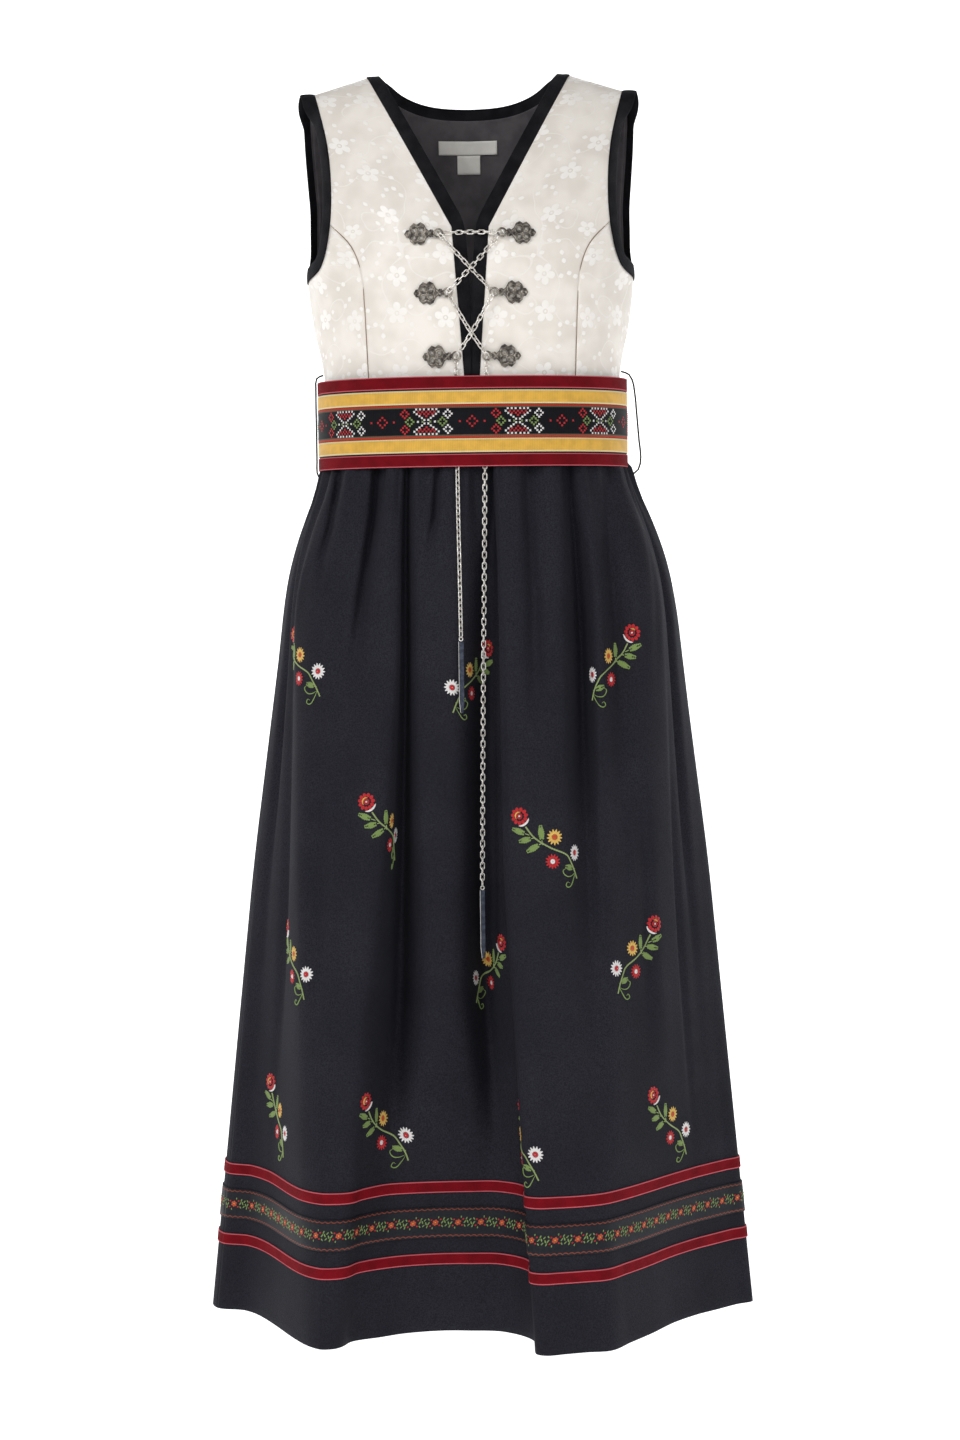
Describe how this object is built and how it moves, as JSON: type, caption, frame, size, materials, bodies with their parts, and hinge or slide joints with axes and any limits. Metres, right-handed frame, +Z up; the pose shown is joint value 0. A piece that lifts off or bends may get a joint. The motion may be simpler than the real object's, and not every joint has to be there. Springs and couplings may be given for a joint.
{
  "type": "bunad costume dress",
  "caption": "Sleeveless folk dress in its worn shape: brocade bodice laced with a silver chain, woven belt and a gathered wool skirt with hem ribbons.",
  "frame": {"origin": "where the garment is held: midway between the two shoulder seams, level with the inner part of the shoulders", "axes": "+Z up, the front of the dress faces -Y, the wearer's right side is at -X"},
  "size_m": [0.5092, 0.3687, 1.1424],
  "materials": {
    "brocade": "off-white figured satin brocade",
    "velvet": "black velvet binding",
    "lining": "charcoal plain lining",
    "wool": "blue-black wool with embroidered sprigs",
    "ribbon_velvet": "red velvet ribbon",
    "woven_ribbon": "black woven ribbon with a floral strip",
    "belt_web": "black belt webbing",
    "belt_velvet": "red velvet stripe",
    "belt_yellow": "yellow ribbed stripe",
    "belt_weave": "black band with cross-stitch figures",
    "silver_dark": "oxidized cast silver",
    "silver": "bright silver",
    "cord": "thin black cord",
    "label": "plain grey woven label"
  },
  "bodies": {
    "root": {"bodice_front_left": "brocade", "bodice_front_right": "brocade", "bodice_side_left": "brocade", "bodice_side_right": "brocade", "bodice_back": "brocade", "back_lining": "lining", "front_binding_left": "velvet", "front_binding_right": "velvet", "back_neck_binding": "velvet", "armhole_binding_left": "velvet", "armhole_binding_right": "velvet", "neck_label": "label", "size_label": "label", "skirt_front": "wool", "skirt_back": "wool", "hem_velvet_upper_front": "ribbon_velvet", "hem_velvet_upper_back": "ribbon_velvet", "hem_woven_front": "woven_ribbon", "hem_woven_back": "woven_ribbon", "hem_velvet_lower_front": "ribbon_velvet", "hem_velvet_lower_back": "ribbon_velvet", "belt_band": "belt_web", "belt_velvet_top": "belt_velvet", "belt_yellow_top": "belt_yellow", "belt_woven": "belt_weave", "belt_yellow_bottom": "belt_yellow", "belt_velvet_bottom": "belt_velvet", "belt_loop_left": "cord", "belt_loop_right": "cord", "clasp_top_left": "silver_dark", "clasp_top_right": "silver_dark", "clasp_middle_left": "silver_dark", "clasp_middle_right": "silver_dark", "clasp_bottom_left": "silver_dark", "clasp_bottom_right": "silver_dark", "chain": "silver", "needle_left": "silver", "needle_right": "silver"}
  },
  "joints": []
}
